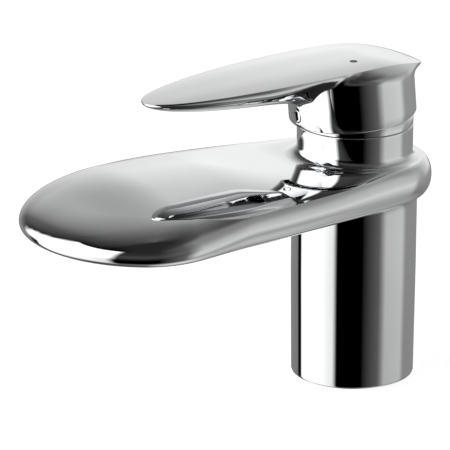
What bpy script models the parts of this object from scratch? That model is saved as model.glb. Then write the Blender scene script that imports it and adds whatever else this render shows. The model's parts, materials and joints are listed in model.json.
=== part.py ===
"""Single-lever basin mixer: a chrome body with a flat, wide spout and a leaf-shaped lever on top.

Metres, +Z up. The origin is the centre of the column's foot, where the tap meets the deck, and
the spout points to -Y. X is the width, with the hot side at -X. Dimensions are in millimetres
and are scaled once, when a mesh is made.
"""

import math

import bmesh
import bpy
from mathutils import Matrix, Vector

MM = 0.001

# Driving dimensions
COLUMN_R = 24.0
FOOT_R = 23.65
FOOT_CHAMFER = 0.5
NECK_R = 22.1
NECK_TOP = 99.7
SPOUT_UNDERSIDE = 73.1
SPOUT_TOP = 86.0
SPOUT_CROWN = 1.6
SPOUT_CROWN_POWER = 3.0
SPOUT_SWELL = 4.0              # extra height of the top along its middle
SPOUT_DROOP = 0.00035      # fall of the top edge per squared mm from its highest point
SPOUT_HIGHEST_Y = -30.0
FILLET_R = 3.2
FILLET_H = 3.4
EDGE_EASE = 0.4
BRIM_R = 28.0
BRIM_MEET = math.radians(15.0)
BRIM_AIM = 30.0
NOSE_CENTRE_Y = -92.0
NOSE_HALF_WIDTH = 42.9
NOSE_LENGTH = 39.6
NOSE_AIM = 28.0
NOSE_START_Y = -68.0
NOSE_FULL_Y = -112.0
NOSE_INSET = 13.0
NOSE_LIFT = 1.7
NOSE_DEPTH = 18.2
NOSE_WIDEST_Z = 75.6
NOSE_ROLL = 10.5
FLANK_START = math.radians(38.0)
FLANK_DEPTH_REAR = 3.5
FLANK_DEPTH_FRONT = 6.0
UNDER_BLEND = 4.0
TAPER_Z = 41.4

SKIRT_R = 24.3
SKIRT_WALL = 1.1
SKIRT_MID_Z = 103.6
SKIRT_TILT = 0.094
LEVER_HALF_WIDTH = 19.6
LEVER_TIP_Y = -91.5
LEVER_REAR_Y = 26.4
LEVER_WIDEST_Y = -22.0
LEVER_EDGE_Z = 125.7
LEVER_FALL_FRONT = 4.8
LEVER_FALL_POWER = 1.4
LEVER_FALL_REAR = 4.6
LEVER_FULLNESS = 2.0 / 2.5
LEVER_CROWN = 1.3
LEVER_SHARE_FRONT_Y = -70.0
LEVER_SHARE_REAR_Y = 8.0
BLADE_LENGTH = 30.0

# Fits
TOUCH = 0.3            # gap between two pieces that bear on each other
SLIP = 0.3             # radial play round a sliding or turning piece

# Lever pivot and cartridge stack
PIVOT_Z = 91.4
PIN_R = 1.5
PIN_LENGTH = 17.0
CHAMBER_FLOOR = 63.4
CHAMBER_R = 18.6
NUT_BORE_R = 19.3
NUT_BORE_FLOOR = 89.4
CARTRIDGE_R = 17.4
HOUSING_WALL = 1.6
BASE_PLATE_HEIGHT = 4.0
SEAL_PLATE_HEIGHT = 1.2
DISC_HEIGHT = 3.5
FIXED_DISC_R = CARTRIDGE_R - HOUSING_WALL - 1.0
MOVING_DISC_R = 11.0
CARRIER_HEIGHT = 4.6
GUIDE_FLANGE_R = FIXED_DISC_R
GUIDE_FLANGE_HEIGHT = 3.0
GUIDE_NECK_R = 9.5
GUIDE_TOP = 97.9
PORT_X = 8.0
PORT_Y = 3.0
PORT_R = 3.0
STEM_HALF = 3.8
STEM_TOP = 114.4
STEM_ROD_R = 2.4
STEM_BALL_R = 2.7
OUTLET_Y = -8.0
PEG_AT = (11.0, -8.0)
PEG_R = 1.4
HOUSING_LID = 2.2
GROOVE_DEPTH = 1.4
LIMITER_R = FIXED_DISC_R - 0.2
LIMITER_HEIGHT = 2.0
LIMITER_NOTCHES = 12
NUT_INNER_R = 15.2
SPANNER_SLOTS = 6

# Heights of the cartridge's plates, from the chamber floor up
BASE_BOTTOM = CHAMBER_FLOOR + TOUCH
BASE_TOP = BASE_BOTTOM + BASE_PLATE_HEIGHT
SEAL_BOTTOM = BASE_TOP + TOUCH
FIXED_DISC_BOTTOM = SEAL_BOTTOM + SEAL_PLATE_HEIGHT + TOUCH
MOVING_DISC_BOTTOM = FIXED_DISC_BOTTOM + DISC_HEIGHT + TOUCH
CARRIER_BOTTOM = MOVING_DISC_BOTTOM + DISC_HEIGHT + TOUCH
GUIDE_BOTTOM = CARRIER_BOTTOM + CARRIER_HEIGHT + TOUCH
HOUSING_TOP = NUT_BORE_FLOOR

# Lever fittings and dome cap
INDEX_AT = (8.7, -6.5)
INDEX_R = 1.2
INDEX_CROWN_SHARE = 0.78
SCREW_Z = 105.6
SCREW_HOLE_R = 2.6
SCREW_R = 2.3
SOCKET_HALF = 4.95
BOSS_R = 8.0
BOSS_BOTTOM = 102.4
HOLLOW_TOP = 118.4
BALL_R = 24.8
BALL_WALL = 1.2
BALL_RIM_Z = 109.0
CAP_SEAL_R = 20.0

# Body hollows and aerator
DECK_CAVITY_R = 20.8
DECK_CAVITY_TOP = 45.4
GASKET_SEAT_R = 22.0
GASKET_SEAT_DEPTH = 2.4
INLET_R = 4.7
INLET_DEPTH = 10.0
STUD_R = 3.4
STUD_Y = -9.5
STUD_DEPTH = 12.0
CHANNEL_FLOOR = 75.6
CHANNEL_TOP = 82.8
AERATOR_Y = -108.0
AERATOR_R = 12.0
AERATOR_SHOULDER = 80.3
AERATOR_BOSS_R = 15.0
AERATOR_BOSS_TOP = 81.6
AERATOR_BOTTOM = SPOUT_UNDERSIDE + 0.2
AERATOR_TOP = 78.8
AERATOR_WALL = 1.8
AERATOR_LIP = 3.0
AERATOR_AT = (0.0, AERATOR_Y)

# Sampling
TURN_STEPS = 30
FINE_STEPS = 40
HOLE_STEPS = 14
HELPER_TURN = 0.05
AERATOR_STEPS = 28

# Pieces that turn about the lever's pivot point
MOVING_PIECES = ("stem_guide", "pivot_pin", "disc_carrier", "moving_ceramic_disc", "stem", "handle",
                 "handle_bush", "grub_screw", "screw_plug", "index_dot")

CHROME = ("chrome", (0.80, 0.81, 0.83), 0.06, 1.0)
BRASS = ("brass", (0.72, 0.52, 0.24), 0.35, 1.0)
STEEL = ("steel", (0.62, 0.63, 0.65), 0.30, 1.0)
CERAMIC = ("ceramic", (0.88, 0.87, 0.84), 0.25, 0.0)
RUBBER = ("rubber", (0.03, 0.03, 0.03), 0.70, 0.0)
WHITE_PLASTIC = ("white_plastic", (0.82, 0.82, 0.80), 0.45, 0.0)
GREY_PLASTIC = ("grey_plastic", (0.36, 0.38, 0.41), 0.50, 0.0)
DARK_PLASTIC = ("dark_plastic", (0.05, 0.06, 0.08), 0.40, 0.0)


def clear_scene():
    for old in list(bpy.data.objects):
        bpy.data.objects.remove(old, do_unlink=True)


def material(spec):
    name, colour, roughness, metallic = spec
    found = bpy.data.materials.get(name)
    if found:
        return found
    made = bpy.data.materials.new(name)
    made.use_nodes = True
    shader = made.node_tree.nodes["Principled BSDF"]
    shader.inputs["Base Color"].default_value = (*colour, 1.0)
    shader.inputs["Roughness"].default_value = roughness
    shader.inputs["Metallic"].default_value = metallic
    return made


def smoothstep(value):
    value = min(max(value, 0.0), 1.0)
    return value * value * (3.0 - 2.0 * value)


def bezier(p0, p1, p2, p3, steps):
    """Points of a cubic curve, without its first point."""
    points = []
    for i in range(1, steps + 1):
        t = i / steps
        a, b, c, d = (1 - t) ** 3, 3 * t * (1 - t) ** 2, 3 * t * t * (1 - t), t ** 3
        points.append(tuple(a * k + b * m + c * n + d * q for k, m, n, q in zip(p0, p1, p2, p3)))
    return points


def object_from(bm, name, spec):
    """Turn a bmesh in millimetres into a smooth-shaded object in metres."""
    bmesh.ops.scale(bm, vec=(MM, MM, MM), verts=bm.verts)
    bmesh.ops.recalc_face_normals(bm, faces=bm.faces)
    mesh = bpy.data.meshes.new(name)
    bm.to_mesh(mesh)
    bm.free()
    mesh.shade_smooth()
    mesh.set_sharp_from_angle(angle=math.radians(35))
    made = bpy.data.objects.new(name, mesh)
    bpy.context.scene.collection.objects.link(made)
    if spec:
        mesh.materials.append(material(spec))
    return made


def add_face(bm, corners):
    """A face through the corners, each taken once, so that two equal ones make a triangle."""
    bm.faces.new(list(dict.fromkeys(corners)))


def circle(radius, steps, centre=(0.0, 0.0), phase=0.0):
    """Points of a level circle in plan."""
    turn = [phase + 2.0 * math.pi * i / steps for i in range(steps)]
    return [(centre[0] + radius * math.cos(a), centre[1] + radius * math.sin(a)) for a in turn]


def skin(bm, rings, closed):
    """Join rings of points with faces; a ring of one point is a pole."""
    made = [[bm.verts.new(p) for p in ring] for ring in rings]
    pairs = list(zip(made, made[1:]))
    if closed:
        pairs.append((made[-1], made[0]))
    for lower, upper in pairs:
        count = max(len(lower), len(upper))
        for i in range(count):
            j = (i + 1) % count
            low_a, low_b = lower[i % len(lower)], lower[j % len(lower)]
            up_a, up_b = upper[i % len(upper)], upper[j % len(upper)]
            add_face(bm, (low_a, low_b, up_b, up_a))
    return made


def turned(name, profile, spec=None, centre=(0.0, 0.0), steps=TURN_STEPS):
    """A turned solid from a closed outline of (radius, z) points.

    A helper, which has no material, is turned by an angle that grows with its radius, so that
    its edges don't lie along those of the solid it cuts or of another helper.
    """
    phase = 0.0 if spec else HELPER_TURN * max(radius for radius, _ in profile)
    rings = []
    for radius, z in profile:
        if radius == 0.0:
            rings.append([(centre[0], centre[1], z)])
            continue
        rings.append([(x, y, z) for x, y in circle(radius, steps, centre, phase)])
    bm = bmesh.new()
    skin(bm, rings, closed=profile[0][0] != 0.0 or profile[-1][0] != 0.0)
    return object_from(bm, name, spec)


def rod(name, radius, z0, z1, spec=None, centre=(0.0, 0.0), steps=HOLE_STEPS):
    return turned(name, [(0.0, z0), (radius, z0), (radius, z1), (0.0, z1)], spec, centre, steps)


def ring_of(name, inner, outer, z0, z1, spec=None, centre=(0.0, 0.0), steps=TURN_STEPS):
    return turned(name, [(inner, z0), (outer, z0), (outer, z1), (inner, z1)], spec, centre, steps)


def o_ring(name, radius, cord, z, spec, centre=(0.0, 0.0), steps=TURN_STEPS):
    return turned(name, circle(cord, 6, (radius, z)), spec, centre, steps)


def box(name, low, high, spec=None):
    bm = bmesh.new()
    bmesh.ops.create_cube(bm, size=1.0)
    for vert in bm.verts:
        vert.co = Vector(l + (h - l) * (c + 0.5) for l, h, c in zip(low, high, vert.co))
    return object_from(bm, name, spec)


def lying_rod(name, radius, start, end, spec=None, steps=HOLE_STEPS):
    """A rod that lies along X or Y, between two points."""
    start, end = Vector(start), Vector(end)
    turn = Vector((0.0, 0.0, 1.0)).rotation_difference(end - start)
    bm = bmesh.new()
    rings = []
    for centre in (start, end):
        rings.append([centre + turn @ Vector((x, y, 0.0)) for x, y in circle(radius, steps)])
    skin(bm, [[start], *rings, [end]], closed=False)
    return object_from(bm, name, spec)


def combine(base, other, operation):
    """Cut or join with a hidden helper solid; the modifier stays on the object."""
    step = base.modifiers.new(other.name, "BOOLEAN")
    step.operation = operation
    step.solver = "EXACT"
    step.object = other
    other.hide_render = True
    other.display_type = "WIRE"


def cut(base, *cutters):
    for cutter in cutters:
        combine(base, cutter, "DIFFERENCE")


def join(base, *others):
    for other in others:
        combine(base, other, "UNION")


# --- body -------------------------------------------------------------------------------------

def nose_share(y):
    """0 on the spout's straight flanks and 1 at the tip of its nose."""
    return smoothstep((NOSE_START_Y - y) / (NOSE_START_Y - NOSE_FULL_Y))


def spout_edge():
    """Half of the spout's widest line in plan, from the nose round to the back of the brim."""
    points = []
    for i in range(8):
        a = math.radians(90.0 * i / 7)
        points.append((NOSE_HALF_WIDTH * math.sin(a), NOSE_CENTRE_Y - NOSE_LENGTH * math.cos(a)))
    brim_start = (BRIM_R * math.cos(BRIM_MEET), BRIM_R * math.sin(BRIM_MEET))
    aim = (brim_start[0] + BRIM_AIM * math.sin(BRIM_MEET), brim_start[1] - BRIM_AIM * math.cos(BRIM_MEET))
    points += bezier(points[-1], (NOSE_HALF_WIDTH, NOSE_CENTRE_Y + NOSE_AIM), aim, brim_start, 8)
    for i in range(1, 8):
        a = BRIM_MEET + (math.radians(90.0) - BRIM_MEET) * i / 7
        points.append((BRIM_R * math.cos(a), BRIM_R * math.sin(a)))
    points[-1] = (0.0, points[-1][1])
    return points


def mirrored(half):
    """Close a half outline that starts and ends on the plane x = 0."""
    return half + [(-x, y) for x, y in reversed(half[1:-1])]


def outward(outline):
    """Unit normals of a closed outline, pointing out."""
    normals = []
    count = len(outline)
    for i in range(count):
        (x0, y0), (x1, y1) = outline[i - 1], outline[(i + 1) % count]
        length = math.hypot(x1 - x0, y1 - y0)
        normals.append(((y1 - y0) / length, -(x1 - x0) / length))
    return normals


def spout_edge_z(y):
    return SPOUT_TOP - SPOUT_DROOP * (y - SPOUT_HIGHEST_Y) ** 2 + NOSE_LIFT * nose_share(y)


def spout_width(y):
    """Half width of the spout's top at y, in plan."""
    if y < NOSE_CENTRE_Y:
        share = min(1.0, (NOSE_CENTRE_Y - y) / NOSE_LENGTH)
        return max(1.0, NOSE_HALF_WIDTH * math.sqrt(1.0 - share * share))
    share = smoothstep((y - NOSE_CENTRE_Y) / (20.0 - NOSE_CENTRE_Y))
    return NOSE_HALF_WIDTH + (BRIM_R - NOSE_HALF_WIDTH) * share


def spout_swell(x, y):
    """Extra height of the spout's top at (x, y)."""
    along = smoothstep((-y - 24.0) / 42.0) * (1.0 - smoothstep((-y - 92.0) / 34.0))
    across = 1.0 - (x / spout_width(y)) ** 2
    return SPOUT_SWELL * along * max(0.0, across)


def flank_section(edge_z, depth, steps):
    """(out, z) points of the spout's side below its crease, as part of an ellipse."""
    points = []
    for i in range(1, steps + 1):
        a = FLANK_START + (math.pi - FLANK_START) * i / steps
        share = (math.cos(FLANK_START) - math.cos(a)) / (math.cos(FLANK_START) + 1.0)
        out = depth * (math.sin(a) - math.sin(FLANK_START))
        points.append((out, edge_z + (SPOUT_UNDERSIDE - edge_z) * share))
    return points


def nose_section(edge_z, slope, steps):
    """(out, z) points of the nose, which rolls over gently and is widest low down."""
    upper = round(steps * 0.6)
    widest = (NOSE_DEPTH, NOSE_WIDEST_Z)
    aim = (NOSE_ROLL, edge_z - NOSE_ROLL * slope)
    roll = bezier((0.0, edge_z), aim, (NOSE_DEPTH, NOSE_WIDEST_Z + 5.4), widest, upper)
    under = (NOSE_DEPTH - 4.0, SPOUT_UNDERSIDE)
    drop, level = (NOSE_DEPTH, NOSE_WIDEST_Z - 1.4), (NOSE_DEPTH - 1.6, SPOUT_UNDERSIDE)
    tuck = bezier(widest, drop, level, under, steps - upper)
    return roll + tuck


def spout_station(edge, normal):
    """One radial profile of the body, from the neck's top edge down to the foot."""
    nose = nose_share(edge[1])
    x, y = (e - NOSE_INSET * nose * n for e, n in zip(edge, normal))
    reach = math.hypot(x, y)
    ray = (x / reach, y / reach)
    foot_r = NECK_R + FILLET_R
    edge_z = spout_edge_z(y) + spout_swell(x, y)
    crown_z = spout_edge_z(ray[1] * foot_r) + SPOUT_CROWN

    def on_ray(radius, z):
        return (ray[0] * radius, ray[1] * radius, z)

    points = [on_ray(NECK_R - EDGE_EASE, NECK_TOP), on_ray(NECK_R, NECK_TOP - EDGE_EASE)]
    start, end = (NECK_R, crown_z + FILLET_H), (foot_r, crown_z)
    points.append(on_ray(*start))
    points += [on_ray(*p) for p in bezier(start, (NECK_R, crown_z + 1.2), (NECK_R + 1.2, crown_z), end, 3)]
    for share in (0.13, 0.26, 0.39, 0.52, 0.65, 0.78, 0.9, 1.0):
        z = spout_edge_z(y) + (crown_z - spout_edge_z(y)) * (1.0 - share ** SPOUT_CROWN_POWER)
        px, py, _ = on_ray(foot_r + (reach - foot_r) * share, 0.0)
        points.append((px, py, z + spout_swell(px, py)))
    slope = (points[-2][2] - points[-1][2]) / math.dist(points[-2][:2], points[-1][:2])
    depth = FLANK_DEPTH_REAR + (FLANK_DEPTH_FRONT - FLANK_DEPTH_REAR) * smoothstep(-y / 40.0)
    for flank, tip in zip(flank_section(edge_z, depth, 8), nose_section(edge_z, slope, 8)):
        out, z = (f + (t - f) * nose for f, t in zip(flank, tip))
        points.append((x + normal[0] * out, y + normal[1] * out, z))
    under_r = math.hypot(points[-1][0], points[-1][1])
    start, end = (under_r, SPOUT_UNDERSIDE), (COLUMN_R, SPOUT_UNDERSIDE - UNDER_BLEND)
    middle = COLUMN_R + (under_r - COLUMN_R) * 0.3
    points += [on_ray(*p) for p in bezier(start, (middle, start[1]), (COLUMN_R, start[1]), end, 4)]
    points.append(on_ray(COLUMN_R, TAPER_Z))
    points.append(on_ray(FOOT_R, FOOT_CHAMFER))
    points.append(on_ray(FOOT_R - FOOT_CHAMFER, 0.0))
    return points


def body_outside():
    outline = mirrored(spout_edge())
    stations = [spout_station(edge, normal) for edge, normal in zip(outline, outward(outline))]
    rings = [list(ring) for ring in zip(*stations)]
    bm = bmesh.new()
    skin(bm, [[(0.0, 0.0, NECK_TOP)], *rings, [(0.0, 0.0, 0.0)]], closed=False)
    return object_from(bm, "body_casting", CHROME)


def water_channel():
    """The hollow in the spout, from the cartridge chamber to the nose, round the aerator's boss."""
    half = []
    for i in range(7):
        a = math.radians(90.0 * i / 6)
        half.append((31.0 * math.sin(a), -94.0 - 29.0 * math.cos(a)))
    half += [(25.0, -60.0), (14.0, -26.0), (10.0, -15.0), (0.0, -15.0)]
    outline = mirrored(half)
    bm = bmesh.new()
    rings = [[(x, y, z) for x, y in outline] for z in (CHANNEL_FLOOR, CHANNEL_TOP)]
    skin(bm, [[(0.0, -60.0, CHANNEL_FLOOR)], *rings, [(0.0, -60.0, CHANNEL_TOP)]], closed=False)
    channel = object_from(bm, "channel_cutter", None)
    boss_bottom = CHANNEL_FLOOR - 1.0
    cut(channel, rod("aerator_boss", AERATOR_BOSS_R, boss_bottom, AERATOR_BOSS_TOP, None, AERATOR_AT, 26))
    return channel


def make_body():
    body = body_outside()
    floor = CHAMBER_FLOOR
    chamber = [(0.0, floor), (CHAMBER_R, floor), (CHAMBER_R, NUT_BORE_FLOOR), (NUT_BORE_R, NUT_BORE_FLOOR),
               (NUT_BORE_R, NECK_TOP + 1.0), (0.0, NECK_TOP + 1.0)]
    deck = [(0.0, -1.0), (GASKET_SEAT_R, -1.0), (GASKET_SEAT_R, GASKET_SEAT_DEPTH),
            (DECK_CAVITY_R, GASKET_SEAT_DEPTH), (DECK_CAVITY_R, DECK_CAVITY_TOP), (0.0, DECK_CAVITY_TOP)]
    socket = [(0.0, SPOUT_UNDERSIDE - 5.0), (AERATOR_R + SLIP, SPOUT_UNDERSIDE - 5.0),
              (AERATOR_R + SLIP, AERATOR_SHOULDER), (AERATOR_R - 1.6, AERATOR_SHOULDER),
              (AERATOR_R - 1.6, AERATOR_BOSS_TOP + 0.6), (0.0, AERATOR_BOSS_TOP + 0.6)]
    cut(body,
        turned("chamber_cutter", chamber, steps=FINE_STEPS),
        turned("deck_cutter", deck, steps=FINE_STEPS),
        water_channel(),
        turned("aerator_cutter", socket, centre=AERATOR_AT, steps=AERATOR_STEPS),
        rod("stud_cutter", STUD_R, DECK_CAVITY_TOP - 1.0, DECK_CAVITY_TOP + STUD_DEPTH, None, (0.0, STUD_Y)))
    for side, label in ((-1.0, "hot"), (1.0, "cold")):
        step = DECK_CAVITY_TOP + INLET_DEPTH
        inlet = [(0.0, DECK_CAVITY_TOP - 1.0), (INLET_R, DECK_CAVITY_TOP - 1.0), (INLET_R, step),
                 (PORT_R, step), (PORT_R, floor + 1.0), (0.0, floor + 1.0)]
        peg_at = (side * PEG_AT[0], PEG_AT[1])
        cut(body,
            turned(label + "_inlet_cutter", inlet, centre=(side * PORT_X, PORT_Y), steps=20),
            rod(label + "_peg_hole_cutter", PEG_R + TOUCH, floor - 2.6, floor + 1.0, None, peg_at, 12))


def make_base_gasket():
    inner, outer = DECK_CAVITY_R - 1.2, GASKET_SEAT_R - TOUCH
    ring_of("base_gasket", inner, outer, 0.2, GASKET_SEAT_DEPTH - TOUCH, RUBBER)


# --- cartridge --------------------------------------------------------------------------------

def port_rods(prefix, radius, z0, z1):
    """Helpers for the two inlet ports and the outlet port."""
    places = (("hot", (-PORT_X, PORT_Y)), ("cold", (PORT_X, PORT_Y)), ("outlet", (0.0, OUTLET_Y)))
    return [rod(f"{prefix}_{name}_cutter", radius, z0, z1, None, centre) for name, centre in places]


def make_cartridge_base():
    base = rod("cartridge_base", CARTRIDGE_R, BASE_BOTTOM, BASE_TOP, GREY_PLASTIC, steps=FINE_STEPS)
    for side, label in ((-1.0, "hot"), (1.0, "cold")):
        peg_at = (side * PEG_AT[0], PEG_AT[1])
        join(base, rod(label + "_peg", PEG_R, CHAMBER_FLOOR - 2.2, BASE_BOTTOM + 1.0, None, peg_at, 12))
    cut(base, *port_rods("base", PORT_R, BASE_BOTTOM - 1.0, BASE_TOP + 1.0))
    groove_top = BASE_BOTTOM + GROOVE_DEPTH
    for side, label in ((-1.0, "hot"), (1.0, "cold")):
        port_at = (side * PORT_X, PORT_Y)
        cut(base, rod(label + "_seal_groove", 5.0, BASE_BOTTOM - 1.0, groove_top, None, port_at, 20))
    cut(base, box("outlet_window", (-5.0, -20.0, BASE_BOTTOM + 1.2), (5.0, -9.0, BASE_TOP - 1.0)))


def make_port_seals():
    bottom, top = CHAMBER_FLOOR + TOUCH, BASE_BOTTOM + GROOVE_DEPTH - TOUCH
    for side, label in ((-1.0, "hot"), (1.0, "cold")):
        ring_of(label + "_port_seal", PORT_R + 0.3, 4.7, bottom, top, RUBBER, (side * PORT_X, PORT_Y), 20)


def make_disc_seal():
    top = SEAL_BOTTOM + SEAL_PLATE_HEIGHT
    plate = rod("disc_seal_plate", FIXED_DISC_R, SEAL_BOTTOM, top, RUBBER, steps=FINE_STEPS)
    cut(plate, *port_rods("seal", PORT_R, SEAL_BOTTOM - 1.0, top + 1.0))


def make_ceramic_discs():
    bottom = FIXED_DISC_BOTTOM
    fixed = rod("fixed_ceramic_disc", FIXED_DISC_R, bottom, bottom + DISC_HEIGHT, CERAMIC, steps=FINE_STEPS)
    cut(fixed, *port_rods("fixed_disc", PORT_R, bottom - 1.0, bottom + DISC_HEIGHT + 1.0))
    bottom = MOVING_DISC_BOTTOM
    top = bottom + DISC_HEIGHT
    moving = rod("moving_ceramic_disc", MOVING_DISC_R, bottom, top, CERAMIC, steps=TURN_STEPS)
    cut(moving, rod("mixing_pocket", 7.2, bottom - 1.0, bottom + 1.8, None, (0.0, -1.5), 24))


def make_disc_carrier():
    top = CARRIER_BOTTOM + CARRIER_HEIGHT
    carrier = rod("disc_carrier", MOVING_DISC_R, CARRIER_BOTTOM, top, WHITE_PLASTIC)
    half = STEM_BALL_R + 0.25
    cut(carrier, box("ball_slot", (-half, -half, CARRIER_BOTTOM + 0.8), (half, half, top + 1.0)))


def make_stem_guide():
    """The turning guide that carries the lever's pivot pin."""
    shoulder = GUIDE_BOTTOM + GUIDE_FLANGE_HEIGHT
    profile = [(0.0, GUIDE_BOTTOM), (GUIDE_FLANGE_R, GUIDE_BOTTOM), (GUIDE_FLANGE_R, shoulder),
               (GUIDE_NECK_R, shoulder), (GUIDE_NECK_R, GUIDE_TOP), (0.0, GUIDE_TOP)]
    guide = turned("stem_guide", profile, WHITE_PLASTIC)
    side = STEM_HALF + 0.4
    pin_end = GUIDE_NECK_R + 1.0
    cut(guide,
        box("swing_slot_top", (-side, -5.2, PIVOT_Z - 5.0), (side, 7.9, GUIDE_TOP + 1.0)),
        box("swing_slot_low", (-side, -7.6, GUIDE_BOTTOM - 1.0), (side, 5.2, PIVOT_Z - 3.0)),
        lying_rod("pin_hole", PIN_R + 0.15, (-pin_end, 0.0, PIVOT_Z), (pin_end, 0.0, PIVOT_Z)))


def make_pivot_pin():
    half = PIN_LENGTH / 2.0
    lying_rod("pivot_pin", PIN_R, (-half, 0.0, PIVOT_Z), (half, 0.0, PIVOT_Z), STEEL)


def make_cartridge_housing():
    lid = HOUSING_TOP - HOUSING_LID
    inner = CARTRIDGE_R - HOUSING_WALL
    neck = GUIDE_NECK_R + SLIP
    bottom = SEAL_BOTTOM
    profile = [(inner, bottom), (CARTRIDGE_R, bottom), (CARTRIDGE_R, HOUSING_TOP), (neck, HOUSING_TOP),
               (neck, lid), (inner, lid)]
    turned("cartridge_housing", profile, GREY_PLASTIC, steps=FINE_STEPS)


def make_limiter_ring():
    bottom = HOUSING_TOP + TOUCH
    top = bottom + LIMITER_HEIGHT
    inner = GUIDE_NECK_R + SLIP
    ring = ring_of("temperature_limiter_ring", inner, LIMITER_R, bottom, top, DARK_PLASTIC, steps=FINE_STEPS)
    places = circle(LIMITER_R, LIMITER_NOTCHES, phase=math.radians(15.0))
    for i, place in enumerate(places):
        cut(ring, rod(f"limiter_notch_{i}", 0.8, bottom - 1.0, top + 1.0, None, place, 8))


def make_cartridge_nut():
    bottom, top = HOUSING_TOP + TOUCH, NECK_TOP - 0.3
    outer = NUT_BORE_R - SLIP
    nut = ring_of("cartridge_nut", NUT_INNER_R, outer, bottom, top, BRASS, steps=FINE_STEPS)
    for i, place in enumerate(circle(NUT_INNER_R, SPANNER_SLOTS)):
        cut(nut, rod(f"spanner_slot_{i}", 1.5, top - 3.0, top + 1.0, None, place, 12))


def ball_arc(radius, z0, z1, steps):
    """Points of a ball round the lever's pivot, between two heights."""
    heights = [z0 + (z1 - z0) * i / steps for i in range(steps + 1)]
    return [(math.sqrt(radius ** 2 - (z - PIVOT_Z) ** 2), z) for z in heights]


def make_dome_cap():
    """The bright ring over the nut, part of a ball round the lever's pivot, with its seal."""
    foot = NECK_TOP + TOUCH
    start_z = PIVOT_Z + math.sqrt(BALL_R ** 2 - NECK_R ** 2)
    outer = [(NECK_R, foot)] + ball_arc(BALL_R, start_z, BALL_RIM_Z, 4)
    inner = ball_arc(BALL_R - BALL_WALL, BALL_RIM_Z, foot + 1.5, 3)
    inner.append((inner[-1][0], foot))
    turned("dome_cap", outer + inner, CHROME, steps=FINE_STEPS)
    cord_r = 0.5
    o_ring("dome_cap_seal", CAP_SEAL_R, cord_r, foot + cord_r, RUBBER)


# --- stem and lever ---------------------------------------------------------------------------

def make_stem():
    ball_z = CARRIER_BOTTOM + 0.8 + TOUCH + STEM_BALL_R
    stem = box("stem", (-STEM_HALF, -STEM_HALF, PIVOT_Z - 3.6), (STEM_HALF, STEM_HALF, STEM_TOP), STEEL)
    arc = []
    for degrees in range(0, 151, 25):
        a = math.radians(degrees)
        arc.append((STEM_BALL_R * math.sin(a), ball_z - STEM_BALL_R * math.cos(a)))
    join(stem,
         turned("stem_ball", arc + [(0.0, arc[-1][1])], steps=HOLE_STEPS),
         rod("stem_rod", STEM_ROD_R, ball_z, PIVOT_Z, steps=12))
    cut(stem, lying_rod("stem_pin_hole", PIN_R + 0.15, (-6.0, 0.0, PIVOT_Z), (6.0, 0.0, PIVOT_Z)))


def lever_edge():
    """Half of the leaf's crisp top edge in plan, from the tip round to the back."""
    points = []
    front, rear = LEVER_TIP_Y - LEVER_WIDEST_Y, LEVER_REAR_Y - LEVER_WIDEST_Y
    for i in range(9):
        a = math.radians(90.0 * i / 8)
        points.append((LEVER_HALF_WIDTH * math.sin(a), LEVER_WIDEST_Y + front * math.cos(a)))
    for i in range(1, 13):
        a = math.radians(90.0 * i / 12)
        across, along = math.cos(a) ** LEVER_FULLNESS, math.sin(a) ** LEVER_FULLNESS
        points.append((LEVER_HALF_WIDTH * across, LEVER_WIDEST_Y + rear * along))
    points[0] = (0.0, LEVER_TIP_Y)
    points[-1] = (0.0, LEVER_REAR_Y)
    return points


def lever_edge_z(y):
    if y < 0.0:
        return LEVER_EDGE_Z - LEVER_FALL_FRONT * (y / LEVER_TIP_Y) ** LEVER_FALL_POWER
    return LEVER_EDGE_Z - LEVER_FALL_REAR * (y / LEVER_REAR_Y) ** 2


def lever_station(edge):
    """One radial profile of the lever, from the skirt's lower edge up and out to the leaf's edge."""
    x, y = edge
    reach = math.hypot(x, y)
    ray = (x / reach, y / reach)
    edge_z = lever_edge_z(y)
    blade = smoothstep((reach - SKIRT_R) / BLADE_LENGTH)
    shoulder = edge_z - 9.0 - 4.0 * blade
    belly = edge_z - 4.0 - 3.0 * blade
    flank = edge_z - 1.6 - 5.9 * blade
    swell = 0.55 * max(0.0, SKIRT_R - reach)
    skirt_z = SKIRT_MID_Z + SKIRT_TILT * SKIRT_R * ray[1]

    def on_skirt(radius, z):
        return tilted((ray[0] * radius, ray[1] * radius, z))

    def on_ray(radius, z):
        return (ray[0] * radius, ray[1] * radius, z)

    points = [on_skirt(SKIRT_R - EDGE_EASE, skirt_z), on_skirt(SKIRT_R, skirt_z + EDGE_EASE)]
    points.append(on_skirt(SKIRT_R, shoulder))
    aims = (on_skirt(SKIRT_R, belly), on_ray(reach + swell, flank), on_ray(reach, edge_z))
    return points + bezier(points[-1], *aims, 7)


def tilted(point):
    """The skirt leans to the front with the closed lever, so its rings shift with their height."""
    x, y, z = point
    return (x, y - SKIRT_TILT * (z - PIVOT_Z), z)


def lever_top(outline):
    """Rings of the gently crowned top, from the leaf's edge in to its middle line."""
    rings = []
    for share in (0.75, 0.5, 0.25):
        ring = []
        for x, y in outline:
            middle_y = min(max(y, LEVER_SHARE_FRONT_Y), LEVER_SHARE_REAR_Y)
            px, py = x * share, middle_y + (y - middle_y) * share
            ring.append((px, py, lever_edge_z(py) + LEVER_CROWN * (1.0 - share * share)))
        rings.append(ring)
    return rings


def lever_outside():
    outline = mirrored(lever_edge())
    stations = [lever_station(edge) for edge in outline]
    rings = [list(ring) for ring in zip(*stations)] + lever_top(outline)
    bm = bmesh.new()
    made = skin(bm, [[(0.0, 0.0, SKIRT_MID_Z)], *rings], closed=False)
    fill_strip(bm, made[-1], len(outline))
    return object_from(bm, "handle", CHROME)


def fill_strip(bm, ring, count):
    """Close a mirrored ring with a strip of faces from side to side."""
    for i in range(count // 2):
        add_face(bm, (ring[-i], ring[i], ring[i + 1], ring[-(i + 1)]))


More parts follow.
